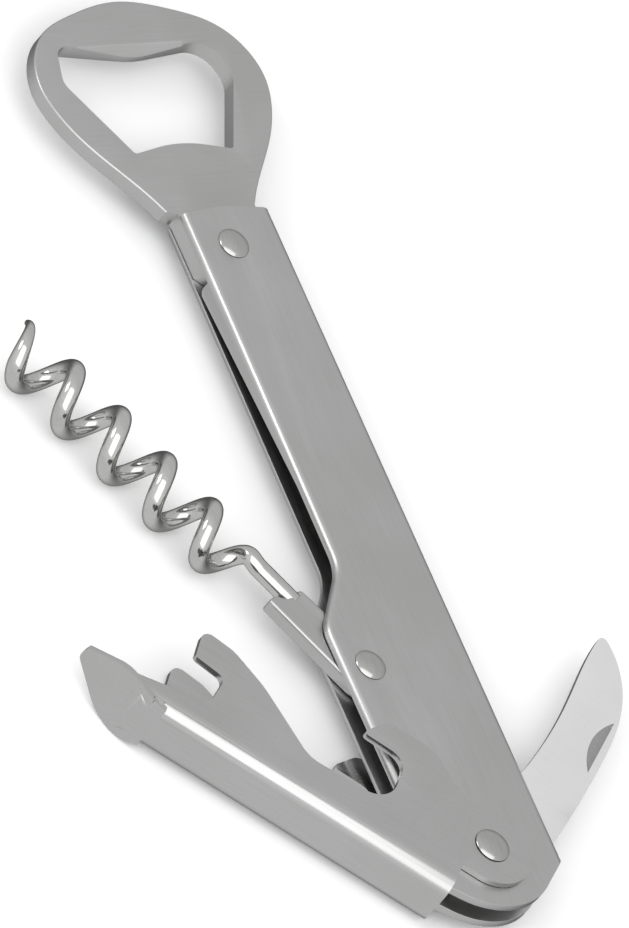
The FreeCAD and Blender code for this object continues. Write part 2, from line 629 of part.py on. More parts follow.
def make_knife():
    """Foil knife: hooked blade with ground faces and a nail nick."""
    body = add_body("knife_blade", angle="sizes.knife_angle")
    tip, back = size("blade_length"), size("blade_back")
    belly = smooth([(8.5, -0.91 * back), (0.34 * tip, -0.97 * back), (0.60 * tip, -back),
                    (0.76 * tip, -0.925 * back), (0.85 * tip, -0.77 * back), (0.91 * tip, -0.58 * back),
                    (0.965 * tip, -0.30 * back), (tip, 0)])
    hook = smooth([(tip, 0), (0.90 * tip, 0.3), (0.70 * tip, -0.2), (0.56 * tip, -0.2), (0.46 * tip, 0.15),
                   (0.36 * tip, 0.8), (0.22 * tip, 2.6), (0, 4.8)])
    ear = Part.Arc(Vector(0, 4.8, 0), Vector(-4.8, 0, 0), Vector(0, -4.8, 0))
    root = smooth([(0, -4.8), (4.0, -6.0), (8.5, -0.91 * back)])
    half = "sizes.blade_thick / 2"
    blank = slab(body, "Pad", "blade", "XY_Plane", [belly, hook, ear, root], "-" + half, half)
    at_tip = lambda p: p.x > tip - 1e-3
    round_edges(body, blank, "point", "Fillet", "sizes.tip_round", at_tip)
    face, relief = size("blade_thick") / 2, size("blade_relief")
    start = size("grind_start")
    for sign in (1, -1):
        ground = rounded([(start, sign * face, 0), (start + 0.35, sign * (face - relief), 0),
                          (2 * tip, sign * (face - relief), 0), (2 * tip, sign * 2 * face, 0),
                          (start, sign * 2 * face, 0)])
        name = "ground_front" if sign > 0 else "ground_back"
        slab(body, "Pocket", name, "XZ_Plane", ground, "-2 * sizes.blade_back", "2 * sizes.blade_back")
    cut_nick(body)
    pin_hole(body, "rivet_hole", "0", "0", "sizes.lever_pin_radius + sizes.pin_play")
    return body


def make_washer(label, side):
    """Thin washer that keeps the blade in the middle of the channel."""
    body = add_body(label)
    low = "(sizes.blade_thick / 2 + sizes.side_play)"
    high = "(sizes.channel_gap / 2 - sizes.side_play)"
    ring = [Part.Circle(Vector(0, 0, 0), Vector(0, 0, 1), size("washer_radius"))]
    limits = (low, high) if side > 0 else ("-" + high, "-" + low)
    slab(body, "Pad", "ring", "XY_Plane", ring, *limits)
    pin_hole(body, "rivet_hole", "0", "0", "sizes.lever_pin_radius")
    return body


def make_all():
    """Every piece of the corkscrew, each with its own label."""
    plate_face = "channel_gap/2 + sheet"
    lever_seat = plate_face + " + ear_play + lever_sheet + side_play"
    return [
        make_channel(),
        make_opener(),
        make_rivet("opener_rivet", OPENER_RIVET_X, "sizes.opener_rivet_y",
                   "pin_radius", "head_radius", plate_face),
        make_worm(),
        make_bracket(),
        make_rivet("worm_rivet", "sizes.worm_rivet_x", "sizes.worm_rivet_y",
                   "pin_radius", "head_radius", plate_face),
        make_lever(),
        make_rivet("lever_rivet", "0", "0", "lever_pin_radius", "lever_head_radius", lever_seat),
        make_knife(),
        make_washer("knife_washer_front", 1),
        make_washer("knife_washer_back", -1),
    ]


def check_and_write(pieces):
    """Stops on a failed object or shape, then writes one file per piece."""
    doc.recompute()
    for thing in doc.Objects:
        if any(word in thing.State for word in ("Invalid", "Error")):
            raise RuntimeError("%s failed: %s" % (thing.Name, thing.State))
    for piece in pieces:
        if piece.Shape.isNull() or not piece.Shape.isValid():
            raise RuntimeError("%s has no valid shape" % piece.Label)
    os.makedirs("parts", exist_ok=True)
    for piece in pieces:
        piece.Shape.exportStep("parts/%s.step" % piece.Label)
        box = piece.Shape.BoundBox
        print("%-20s solids %d volume %9.2f  x %.2f..%.2f  y %.2f..%.2f  z %.2f..%.2f" % (
            piece.Label, len(piece.Shape.Solids), piece.Shape.Volume,
            box.XMin, box.XMax, box.YMin, box.YMax, box.ZMin, box.ZMax))


check_and_write(make_all())
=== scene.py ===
"""Looks of a folding lever corkscrew: finishes, coil, rivets, camera and stage.

Lengths typed in the settings are millimetres; everything built is in metres.
"""

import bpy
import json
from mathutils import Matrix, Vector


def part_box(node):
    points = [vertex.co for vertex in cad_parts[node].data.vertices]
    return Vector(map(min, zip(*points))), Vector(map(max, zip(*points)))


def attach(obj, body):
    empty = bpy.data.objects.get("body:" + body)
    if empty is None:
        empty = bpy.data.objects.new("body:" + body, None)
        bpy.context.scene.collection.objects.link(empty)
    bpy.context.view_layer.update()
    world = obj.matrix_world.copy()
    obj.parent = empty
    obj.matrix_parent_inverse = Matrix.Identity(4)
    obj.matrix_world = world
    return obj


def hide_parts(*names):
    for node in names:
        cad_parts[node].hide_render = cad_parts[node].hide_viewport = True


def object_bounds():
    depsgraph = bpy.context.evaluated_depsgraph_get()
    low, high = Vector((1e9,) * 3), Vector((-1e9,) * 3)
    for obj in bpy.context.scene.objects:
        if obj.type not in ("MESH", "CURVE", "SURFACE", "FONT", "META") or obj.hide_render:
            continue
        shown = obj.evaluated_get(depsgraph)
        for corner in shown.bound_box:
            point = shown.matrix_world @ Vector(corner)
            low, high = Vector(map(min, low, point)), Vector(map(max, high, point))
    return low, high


bl_info = {
    "name": "Lever corkscrew finish",
    "version": (1, 0, 0),
    "blender": (4, 5, 0),
    "location": "View3D > Sidebar > Corkscrew",
    "description": "Builds the finished pieces of a folding lever corkscrew round its packed frame",
    "category": "Object",
}

import json
import math

import bmesh
import bpy
from mathutils import Matrix, Vector

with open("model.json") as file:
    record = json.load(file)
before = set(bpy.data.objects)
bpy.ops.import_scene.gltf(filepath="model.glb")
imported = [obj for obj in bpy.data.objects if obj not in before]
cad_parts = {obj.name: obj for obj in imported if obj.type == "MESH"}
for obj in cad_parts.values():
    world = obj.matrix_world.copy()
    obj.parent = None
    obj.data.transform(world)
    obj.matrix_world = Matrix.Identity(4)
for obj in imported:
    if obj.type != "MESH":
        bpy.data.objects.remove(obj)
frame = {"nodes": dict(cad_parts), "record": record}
CAD_BOX = [list(corner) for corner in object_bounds()]

MM = 0.001
JOINTS = {joint["name"]: joint for joint in frame["record"]["behaviour"]["joints"]}
MIDDLE_PLANE = JOINTS["lever_hinge"]["pos_m"][2]


# ---------------------------------------------------------------- settings

class CorkscrewSheet(bpy.types.PropertyGroup):
    """Edges of the pressed pieces."""
    plate_edge: bpy.props.FloatProperty(
        name="Plate edge", description="Rounding left by tumbling on the handle and the opener (mm)",
        default=0.16, min=0.02, max=0.5)
    lever_edge: bpy.props.FloatProperty(
        name="Lever edge", description="Rounding left by tumbling on the lever (mm)",
        default=0.45, min=0.02, max=0.5)
    clip_edge: bpy.props.FloatProperty(
        name="Clip edge", description="Rounding of the worm's clip (mm)",
        default=0.10, min=0.02, max=0.4)
    blade_edge: bpy.props.FloatProperty(
        name="Blade edge", description="Rounding of the blade's outline (mm)",
        default=0.06, min=0.01, max=0.3)
    sharp_angle: bpy.props.FloatProperty(
        name="Sharp angle", description="Corners steeper than this are rounded",
        default=math.radians(32), subtype="ANGLE")


class CorkscrewCoil(bpy.types.PropertyGroup):
    """The worm, drawn along +X from its rivet and then turned."""
    wire: bpy.props.FloatProperty(name="Wire", description="Diameter of the wire (mm)", default=2.8)
    outside: bpy.props.FloatProperty(name="Outside", description="Outside of the coil (mm)", default=9.9)
    pitch: bpy.props.FloatProperty(name="Pitch", description="Advance for each turn (mm)", default=9.15)
    turns: bpy.props.FloatProperty(name="Turns", description="Turns from the first bend to the point",
                                   default=5.22)
    start: bpy.props.FloatProperty(name="Start", description="Rivet to the first bend (mm)", default=20.5)
    shank: bpy.props.FloatProperty(name="Shank", description="Rivet to the end of the flattened tail (mm)",
                                   default=14.0)
    phase: bpy.props.FloatProperty(name="Phase", description="Angle round the axis at the first bend",
                                   default=math.radians(63), subtype="ANGLE")
    offset: bpy.props.FloatProperty(name="Axis offset", description="Rivet's line to the coil's axis (mm)",
                                    default=2.5)
    shank_offset: bpy.props.FloatProperty(
        name="Shank offset", description="Rivet's line to the straight shank (mm)", default=-0.7)
    ease: bpy.props.FloatProperty(name="Ease", description="Turns over which the coil opens out",
                                  default=0.85)
    point: bpy.props.FloatProperty(
        name="Point", description="Turns over which the wire is ground to a point", default=0.4)
    point_share: bpy.props.FloatProperty(name="Point share", description="Wire left at the very point",
                                         default=0.36, subtype="FACTOR")
    angle: bpy.props.FloatProperty(name="Angle", description="Worm at rest, from the handle",
                                   default=math.radians(28.7), subtype="ANGLE")


class CorkscrewRivets(bpy.types.PropertyGroup):
    """Shape of the peened heads, as shares of their radius and rise."""
    fullness: bpy.props.FloatProperty(name="Fullness", description="Under 1 flattens the dome's top",
                                      default=1.6)
    segments: bpy.props.IntProperty(name="Segments", description="Faces round a head", default=64)


class CorkscrewBlade(bpy.types.PropertyGroup):
    """Where the blade's nail nick lies, in the blade's own direction."""
    angle: bpy.props.FloatProperty(name="Angle", description="Blade at rest, from the handle",
                                   default=math.radians(-47.5), subtype="ANGLE")
    nick_from: bpy.props.FloatProperty(name="Nick from", description="Lever rivet to the nick (mm)",
                                       default=27.0)
    nick_to: bpy.props.FloatProperty(name="Nick to", description="Lever rivet to the nick's far end (mm)",
                                     default=39.4)
    face: bpy.props.FloatProperty(name="Face", description="Blade's middle to its ground face (mm)",
                                  default=0.58)


class CorkscrewStage(bpy.types.PropertyGroup):
    """Camera, lights and floor."""
    azimuth: bpy.props.FloatProperty(name="Azimuth", description="Direction that the camera stands in",
                                     default=math.radians(213.7), subtype="ANGLE")
    elevation: bpy.props.FloatProperty(name="Elevation", description="Height of the camera over the floor",
                                       default=math.radians(42.05), subtype="ANGLE")
    roll: bpy.props.FloatProperty(name="Roll", description="Turn of the camera about its own axis",
                                  default=math.radians(41.7), subtype="ANGLE")
    distance: bpy.props.FloatProperty(name="Distance", description="Camera to the middle of the view",
                                      default=12.0, unit="LENGTH")
    view_height: bpy.props.FloatProperty(name="View height", description="Height that the view takes in",
                                         default=0.1307, unit="LENGTH")
    floor_size: bpy.props.FloatProperty(name="Floor size", description="Side of the floor",
                                        default=6.0, unit="LENGTH")


# --------------------------------------------------------------- materials

def linear(text):
    """sRGB hex colour as a linear RGBA tuple."""
    channels = [int(text[i:i + 2], 16) / 255 for i in (1, 3, 5)]
    return tuple(c / 12.92 if c <= 0.04045 else ((c + 0.055) / 1.055) ** 2.4 for c in channels) + (1.0,)


def add(tree, kind, settings=None, links=None, **values):
    """One node with its settings, its socket values and its links.

    In links, a socket is fed by another node's output or set to a number.
    """
    node = tree.nodes.new(kind)
    for key, value in (settings or {}).items():
        setattr(node, key, value)
    for key, value in values.items():
        node.inputs[key.replace("_", " ")].default_value = value
    for key, source in (links or {}).items():
        if isinstance(source, bpy.types.NodeSocket):
            tree.links.new(source, node.inputs[key])
        else:
            node.inputs[key].default_value = source
    return node


def new_material(name):
    """Empty node material with its output and its shader."""
    material = bpy.data.materials.new(name)
    material.use_nodes = True
    tree = material.node_tree
    tree.nodes.clear()
    shader = add(tree, "ShaderNodeBsdfPrincipled", Metallic=1.0)
    add(tree, "ShaderNodeOutputMaterial", links={"Surface": shader.outputs["BSDF"]})
    return material, tree, shader


def steel(name, colour, pale, rough, spread, line, depth, angle=0.0):
    """Steel with polishing lines along one direction of the piece.

    line is the spacing of the lines in metres and depth their height;
    angle turns them about Z from the handle's direction.
    """
    material, tree, shader = new_material(name)
    place = add(tree, "ShaderNodeTexCoord")
    turned = add(tree, "ShaderNodeMapping", {"vector_type": "TEXTURE"},
                 {"Vector": place.outputs["Object"]}, Rotation=(0.0, 0.0, angle))
    drawn = add(tree, "ShaderNodeMapping", links={"Vector": turned.outputs["Vector"]},
                Scale=(0.03 / line, 1 / line, 1 / line))
    lines = add(tree, "ShaderNodeTexNoise", links={"Vector": drawn.outputs["Vector"]},
                Scale=1.0, Detail=3.0, Roughness=0.6)
    broad = add(tree, "ShaderNodeTexNoise", links={"Vector": turned.outputs["Vector"]},
                Scale=55.0, Detail=2.0, Roughness=0.5)
    both = add(tree, "ShaderNodeMix", {"data_type": "FLOAT"},
               {"A": broad.outputs["Fac"], "B": lines.outputs["Fac"]}, Factor=0.45)
    spread_out = add(tree, "ShaderNodeMapRange", links={"Value": both.outputs["Result"]},
                     From_Min=0.35, From_Max=0.65)
    tone = add(tree, "ShaderNodeMix", {"data_type": "RGBA"}, {"Factor": spread_out.outputs["Result"]})
    tone.inputs["A"].default_value = linear(colour)
    tone.inputs["B"].default_value = linear(pale)
    tree.links.new(tone.outputs["Result"], shader.inputs["Base Color"])
    haze = add(tree, "ShaderNodeMapRange", links={"Value": lines.outputs["Fac"]},
               From_Min=0.3, From_Max=0.7, To_Min=rough - spread, To_Max=rough + spread)
    tree.links.new(haze.outputs["Result"], shader.inputs["Roughness"])
    relief = add(tree, "ShaderNodeBump", links={"Height": lines.outputs["Fac"]},
                 Strength=1.0, Distance=depth)
    tree.links.new(relief.outputs["Normal"], shader.inputs["Normal"])
    return material


def satin_sheet(angle=0.0, name="stainless_430_satin"):
    """Cold-rolled 430 stainless sheet, belt finished: even grey with fine lines."""
    return steel(name, "#b0b0af", "#bababa", 0.34, 0.05, 0.25 * MM, 0.0012 * MM, angle)


def pressed_sheet(angle=0.0):
    """The same sheet after pressing, a little smoother than the satin sheet."""
    return steel("stainless_430_pressed", "#b2b2b1", "#bababa", 0.25, 0.04, 0.3 * MM, 0.0008 * MM, angle)


def ground_blade_painted_reflection(angle=0.0):
    """Hardened 420 stainless, ground and mirror buffed; its colour is set nearly white, a painted
    reflection of a bright softbox.
    """
    # Near-white colour: painted reflection, brighter than the steel itself, standing in for the light the
    # mirror-buffed blade reflects.
    return steel("stainless_420_ground_painted_reflection", "#ececec", "#f4f4f4", 0.16, 0.03, 0.2 * MM, 0.0006 * MM, angle)


def darker_nick_face():
    """The nail nick's sunken face: darker and a little rougher than the blade."""
    return steel("stainless_420_nick_face", "#a4a4a4", "#b4b4b4", 0.32, 0.06, 0.3 * MM, 0.0020 * MM)


def plated_wire():
    """Hard steel wire with bright nickel: sharp light and dark streaks."""
    return steel("nickel_plated_wire", "#b4b4b2", "#c2c2c0", 0.12, 0.03, 0.5 * MM, 0.0006 * MM)


def peened_rivet():
    """Mild steel rivet, zinc bright, its dome burnished by the setting tool."""
    return steel("zinc_bright_rivet", "#a4a4a2", "#b2b2b0", 0.18, 0.05, 0.4 * MM, 0.0010 * MM)


def floor_paper():
    """White backdrop paper: matt, with hardly any tooth."""
    material, tree, shader = new_material("backdrop_paper")
    shader.inputs["Metallic"].default_value = 0.0
    shader.inputs["Roughness"].default_value = 0.9
    shader.inputs["Base Color"].default_value = linear("#f4f4f4")
    return material


# ------------------------------------------------------------ mesh helpers

def settle(name, mesh, body, material, *nodes):
    """Shown object at the origin that rides on a body and stands for nodes."""
    mesh.materials.clear()
    mesh.materials.append(material)
    piece = bpy.data.objects.new(name, mesh)
    bpy.context.scene.collection.objects.link(piece)
    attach(piece, body)
    if nodes:
        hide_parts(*nodes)
    return piece


def softened(node, edge, sharp):
    """Copy of a CAD node's mesh with every sharp edge rounded a little."""
    mesh = frame["nodes"][node].data.copy()
    work = bmesh.new()
    work.from_mesh(mesh)
    bmesh.ops.remove_doubles(work, verts=work.verts, dist=0.0005 * MM)
    bmesh.ops.dissolve_limit(work, angle_limit=math.radians(0.3), verts=work.verts, edges=work.edges)
    work.to_mesh(mesh)
    work.free()
    for polygon in mesh.polygons:
        polygon.use_smooth = True
    carrier = bpy.data.objects.new(node + "_work", mesh)
    bpy.context.scene.collection.objects.link(carrier)
    bevel = carrier.modifiers.new("edge", "BEVEL")
    bevel.width = edge * MM
    bevel.segments = 3
    bevel.limit_method = "ANGLE"
    bevel.angle_limit = sharp
    bevel.harden_normals = True
    bevel.miter_outer = "MITER_ARC"
    depsgraph = bpy.context.evaluated_depsgraph_get()
    result = bpy.data.meshes.new_from_object(carrier.evaluated_get(depsgraph))
    bpy.data.objects.remove(carrier)
    return result


def baked(tree, seed_mesh, inputs):
    """Plain mesh that a Geometry Nodes tree makes from a seed mesh."""
    carrier = bpy.data.objects.new("work", seed_mesh)
    bpy.context.scene.collection.objects.link(carrier)
    modifier = carrier.modifiers.new("nodes", "NODES")
    modifier.node_group = tree
    for item in tree.interface.items_tree:
        if item.in_out == "INPUT" and item.name in inputs:
            modifier[item.identifier] = inputs[item.name]
    depsgraph = bpy.context.evaluated_depsgraph_get()
    result = bpy.data.meshes.new_from_object(carrier.evaluated_get(depsgraph))
    carrier.modifiers.remove(modifier)
    bpy.data.objects.remove(carrier)
    return result


def new_tree(name, floats=(), vectors=(), others=()):
    """Geometry Nodes tree with named inputs; returns it and its input node."""
    tree = bpy.data.node_groups.new(name, "GeometryNodeTree")
    tree.interface.new_socket("Geometry", in_out="INPUT", socket_type="NodeSocketGeometry")
    for label in floats:
        tree.interface.new_socket(label, in_out="INPUT", socket_type="NodeSocketFloat")
    for label in vectors:
        tree.interface.new_socket(label, in_out="INPUT", socket_type="NodeSocketVector")
    for label, kind in others:
        tree.interface.new_socket(label, in_out="INPUT", socket_type=kind)
    tree.interface.new_socket("Geometry", in_out="OUTPUT", socket_type="NodeSocketGeometry")
    return tree, tree.nodes.new("NodeGroupInput")


def end_tree(tree, geometry, material):
    """Realizes the result and gives it its material."""
    real = add(tree, "GeometryNodeRealizeInstances", links={"Geometry": geometry})
    painted = add(tree, "GeometryNodeSetMaterial",
                  links={"Geometry": real.outputs["Geometry"], "Material": material})
    add(tree, "NodeGroupOutput", links={"Geometry": painted.outputs["Geometry"]})


# -------------------------------------------------------------------- worm

COIL_STEPS, WIRE_SIDES = 460, 32


def coil_tree():
    """Wire swept along an eased helix with a ground point."""
    names = ("Wire radius", "Coil radius", "Pitch", "Turns", "Start", "Lead turns", "Phase", "Offset",
             "Shank offset", "Ease", "Point", "Point share")
    tree, given = new_tree("worm_coil", names, ("Pivot", "Turn"), (("Material", "NodeSocketMaterial"),))
    value = given.outputs
    line = add(tree, "GeometryNodeCurvePrimitiveLine")
    spaced = add(tree, "GeometryNodeResampleCurve", links={"Curve": line.outputs["Curve"]},
                 Count=COIL_STEPS)
    along = add(tree, "GeometryNodeSplineParameter").outputs["Factor"]
    start = add(tree, "ShaderNodeMath", {"operation": "MULTIPLY"}, {0: value["Lead turns"], 1: -1.0})
    turn = add(tree, "ShaderNodeMapRange", {"clamp": False},
               {"Value": along, "To Min": start.outputs[0], "To Max": value["Turns"]}).outputs["Result"]
    opened = add(tree, "ShaderNodeMapRange", {"interpolation_type": "SMOOTHSTEP"},
                 {"Value": turn, "From Max": value["Ease"]})
    grown = opened.outputs["Result"]
    angle = add(tree, "ShaderNodeMath", {"operation": "MULTIPLY_ADD"},
                {0: turn, 1: 2 * math.pi, 2: value["Phase"]}).outputs[0]
    radius = add(tree, "ShaderNodeMath", {"operation": "MULTIPLY"},
                 {0: value["Coil radius"], 1: grown}).outputs[0]
    cosine = add(tree, "ShaderNodeMath", {"operation": "COSINE"}, {0: angle}).outputs[0]
    sine = add(tree, "ShaderNodeMath", {"operation": "SINE"}, {0: angle}).outputs[0]
    axis = add(tree, "ShaderNodeMapRange",
               links={"Value": grown, "To Min": value["Shank offset"], "To Max": value["Offset"]})
    across = add(tree, "ShaderNodeMath", {"operation": "MULTIPLY_ADD"},
                 {0: radius, 1: cosine, 2: axis.outputs["Result"]}).outputs[0]
    rise = add(tree, "ShaderNodeMath", {"operation": "MULTIPLY"}, {0: radius, 1: sine}).outputs[0]
    advance = add(tree, "ShaderNodeMath", {"operation": "MULTIPLY_ADD"},
                  {0: value["Pitch"], 1: turn, 2: value["Start"]}).outputs[0]
    spot = add(tree, "ShaderNodeCombineXYZ", links={"X": advance, "Y": across, "Z": rise})
    wound = add(tree, "GeometryNodeSetPosition",
                links={"Geometry": spaced.outputs["Curve"], "Position": spot.outputs["Vector"]})
    taper_from = add(tree, "ShaderNodeMath", {"operation": "SUBTRACT"},
                     {0: value["Turns"], 1: value["Point"]}).outputs[0]
    slim = add(tree, "ShaderNodeMapRange",
               links={"Value": turn, "From Min": taper_from, "From Max": value["Turns"],
                      "To Max": value["Point share"]}, To_Min=1.0)
    sized = add(tree, "GeometryNodeSetCurveRadius",
                links={"Curve": wound.outputs["Geometry"], "Radius": slim.outputs["Result"]})
    ring = add(tree, "GeometryNodeCurvePrimitiveCircle", links={"Radius": value["Wire radius"]},
               Resolution=WIRE_SIDES)
    swept = add(tree, "GeometryNodeCurveToMesh",
                links={"Curve": sized.outputs["Curve"], "Profile Curve": ring.outputs["Curve"],
                       "Scale": slim.outputs["Result"]}, Fill_Caps=True)
    smooth = add(tree, "GeometryNodeSetShadeSmooth", links={"Geometry": swept.outputs["Mesh"]})
    placed = add(tree, "GeometryNodeTransform",
                 links={"Geometry": smooth.outputs["Geometry"], "Translation": value["Pivot"],
                        "Rotation": value["Turn"]})
    end_tree(tree, placed.outputs["Geometry"], value["Material"])
    return tree


TAIL_HALF_SHARE = 0.42
TAIL_HALF_THICK = 0.45 * MM
EYE_RADIUS, EYE_HOLE, EYE_STEPS = 2.6 * MM, 1.55 * MM, 40


def tail_mesh(coil):
    """Flattened tail of the wire with an eye round the rivet."""
    reach, half, thick = coil.shank * MM, TAIL_HALF_SHARE * coil.wire * MM, TAIL_HALF_THICK
    eye, hole, mid, steps = EYE_RADIUS, EYE_HOLE, coil.shank_offset * MM, EYE_STEPS
    work = bmesh.new()
    start = math.asin((half + mid) / eye)
    stop = 2 * math.pi + math.asin((mid - half) / eye)
    outer = [Vector((reach, mid - half, 0)), Vector((reach, mid + half, 0))]
    for k in range(steps + 1):
        turned = start + (stop - start) * k / steps
        outer.append(Vector((eye * math.cos(turned), eye * math.sin(turned), 0)))
    top = [work.verts.new(p + Vector((0, 0, thick))) for p in outer]
    low = [work.verts.new(p - Vector((0, 0, thick))) for p in outer]
    inner = [Vector((hole * math.cos(2 * math.pi * k / steps), hole * math.sin(2 * math.pi * k / steps), 0))
             for k in range(steps)]
    top_hole = [work.verts.new(p + Vector((0, 0, thick))) for p in inner]
    low_hole = [work.verts.new(p - Vector((0, 0, thick))) for p in inner]
    for upper, lower in ((top, low), (top_hole[::-1], low_hole[::-1])):
        count = len(upper)
        for k in range(count):
            after = (k + 1) % count
            work.faces.new((upper[k], lower[k], lower[after], upper[after]))
    for loop, ring in ((top, top_hole), (low, low_hole)):
        edges = [work.edges.get((loop[k], loop[(k + 1) % len(loop)])) for k in range(len(loop))]
        edges += [work.edges.get((ring[k], ring[(k + 1) % steps])) for k in range(steps)]
        bmesh.ops.triangle_fill(work, edges=edges, use_beauty=True)
    bmesh.ops.recalc_face_normals(work, faces=work.faces)
    placed = Matrix.Translation(JOINTS["worm_hinge"]["pos_m"]) @ Matrix.Rotation(coil.angle, 4, "Z")
    work.transform(placed)
    mesh = bpy.data.meshes.new("worm_tail")
    work.to_mesh(mesh)
    work.free()
    return mesh


class CORKSCREW_OT_worm(bpy.types.Operator):
    """Coiled wire with its ground point, and the tail that the clip holds"""
    bl_idname = "corkscrew.worm"
    bl_label = "Worm"

    def execute(self, context):
        coil = context.scene.corkscrew_coil
        wire = plated_wire()
        inputs = {
            "Wire radius": coil.wire / 2 * MM,
            "Coil radius": (coil.outside - coil.wire) / 2 * MM,
            "Pitch": coil.pitch * MM,
            "Turns": coil.turns,
            "Start": coil.start * MM,
            "Lead turns": (coil.start - coil.shank) / coil.pitch,
            "Phase": coil.phase,
            "Offset": coil.offset * MM,
            "Shank offset": coil.shank_offset * MM,
            "Ease": coil.ease,
            "Point": coil.point,
            "Point share": coil.point_share,
            "Pivot": tuple(JOINTS["worm_hinge"]["pos_m"]),
            "Turn": (0.0, 0.0, coil.angle),
            "Material": wire,
        }
        mesh = baked(coil_tree(), bpy.data.meshes.new("worm_seed"), inputs)
        settle("worm_wire", mesh, "worm_arm", wire, "worm")
        tail = settle("worm_tail", tail_mesh(coil), "worm_arm", wire)
        return {"FINISHED"}


# ------------------------------------------------------------------ rivets

DOME_STEPS = 18


def head_mesh(rivets):
    """One rivet head along +Z with unit radius and unit rise, closed below."""
    steps = DOME_STEPS
    outline = [(0.0, 1.0)]
    for k in range(1, steps + 1):
        turned = math.pi / 2 * k / steps
        outline.append((math.sin(turned), math.cos(turned) ** rivets.fullness))
    work = bmesh.new()
    ring = [work.verts.new((x, 0, z)) for x, z in outline]
    edges = [work.edges.new(pair) for pair in zip(ring, ring[1:])]
    bmesh.ops.spin(work, geom=ring + edges, cent=(0, 0, 0), axis=(0, 0, 1), angle=2 * math.pi,
                   steps=rivets.segments)
    bmesh.ops.remove_doubles(work, verts=work.verts, dist=1e-5)
    rims = [e for e in work.edges if e.is_boundary]
    bmesh.ops.contextual_create(work, geom=rims)
    bmesh.ops.recalc_face_normals(work, faces=work.faces)
    for face in work.faces:
        face.smooth = len(face.verts) <= 4
    mesh = bpy.data.meshes.new("rivet_head")
    work.to_mesh(mesh)
    work.free()
    return mesh


def rivet_tree():
    """A head on every seat and a shank between each pair of seats."""
    tree, given = new_tree("rivet_set", others=(
        ("Head", "NodeSocketObject"), ("Material", "NodeSocketMaterial")))
    value = given.outputs
    head = add(tree, "GeometryNodeObjectInfo", links={"Object": value["Head"]}, As_Instance=True)

    stored = {}
    for name in ("turn", "size", "shank", "drop"):
        kept = add(tree, "GeometryNodeInputNamedAttribute", {"data_type": "FLOAT_VECTOR"}, Name=name)
        stored[name] = kept.outputs["Attribute"]
    heads = add(tree, "GeometryNodeInstanceOnPoints",
                links={"Points": value["Geometry"], "Instance": head.outputs["Geometry"],
                       "Rotation": stored["turn"], "Scale": stored["size"]})
    bar = add(tree, "GeometryNodeMeshCylinder", Vertices=48, Radius=1.0, Depth=1.0)
    shanks = add(tree, "GeometryNodeInstanceOnPoints",
                 links={"Points": value["Geometry"], "Instance": bar.outputs["Mesh"],
                        "Scale": stored["shank"]})
    middle = add(tree, "GeometryNodeSetPosition", links={"Geometry": shanks.outputs["Instances"],
                                                         "Offset": stored["drop"]})
    both = add(tree, "GeometryNodeJoinGeometry")
    for source in (heads.outputs["Instances"], middle.outputs["Geometry"]):
        tree.links.new(source, both.inputs["Geometry"])
    end_tree(tree, both.outputs["Geometry"], value["Material"])
    return tree


RIVET_NODES = ("opener_rivet", "worm_rivet", "lever_rivet")
HEAD_RISE = 0.85 * MM
SHANK_SHARE = 0.61


class CORKSCREW_OT_rivets(bpy.types.Operator):
    """Three peened rivets with a domed head at each end"""
    bl_idname = "corkscrew.rivets"
    bl_label = "Rivets"

    def execute(self, context):
        material = peened_rivet()
        seats, turns, sizes, shanks, drops = [], [], [], [], []
        for node in RIVET_NODES:
            low, high = (Vector(corner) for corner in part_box(node))
            middle, radius = (low + high) / 2, (high.x - low.x) / 2
            seat = (high.z - low.z) / 2 - HEAD_RISE
            for side in (1, -1):
                seats.append(middle + Vector((0, 0, side * seat)))
                turns.append((0.0 if side > 0 else math.pi, 0.0, 0.0))
                sizes.append((radius, radius, HEAD_RISE))
                shanks.append((SHANK_SHARE * radius, SHANK_SHARE * radius, seat))
                drops.append((0.0, 0.0, -side * seat / 2))
        seed = bpy.data.meshes.new("rivet_seats")
        seed.from_pydata(seats, [], [])
        for name, rows in (("turn", turns), ("size", sizes), ("shank", shanks), ("drop", drops)):
            layer = seed.attributes.new(name, "FLOAT_VECTOR", "POINT")
            layer.data.foreach_set("vector", [number for row in rows for number in row])
        head = bpy.data.objects.new("rivet_head", head_mesh(context.scene.corkscrew_rivets))
        bpy.context.scene.collection.objects.link(head)
        mesh = baked(rivet_tree(), seed, {"Head": head, "Material": material})
        bpy.data.objects.remove(head)
        settle("rivets", mesh, "handle", material, *RIVET_NODES)
        return {"FINISHED"}


# ------------------------------------------------------------ sheet pieces

class CORKSCREW_OT_channel(bpy.types.Operator):
    """Folded handle with tumbled edges and a satin belt finish"""
    bl_idname = "corkscrew.channel"
    bl_label = "Handle channel"

    def execute(self, context):
        sheet = context.scene.corkscrew_sheet
        mesh = softened("handle_channel", sheet.plate_edge, sheet.sharp_angle)
        settle("channel_shell", mesh, "handle", satin_sheet(), "handle_channel")
        return {"FINISHED"}


class CORKSCREW_OT_opener(bpy.types.Operator):
    """Cap opener plate with its coined tongue"""
    bl_idname = "corkscrew.opener"
    bl_label = "Bottle opener"

    def execute(self, context):
        sheet = context.scene.corkscrew_sheet
        mesh = softened("bottle_opener", sheet.plate_edge, sheet.sharp_angle)
        across = satin_sheet(math.radians(90), "stainless_430_cross_brushed")
        settle("opener_plate", mesh, "handle", across, "bottle_opener")
        return {"FINISHED"}


class CORKSCREW_OT_lever(bpy.types.Operator):
    """Boot lever with two lip steps, joggled ears and a curled tip"""
    bl_idname = "corkscrew.lever"
    bl_label = "Lever"

    def execute(self, context):
        sheet = context.scene.corkscrew_sheet
        mesh = softened("lever", sheet.lever_edge, sheet.sharp_angle)
        settle("lever_shell", mesh, "lever_arm", pressed_sheet(math.radians(48)), "lever")
        return {"FINISHED"}


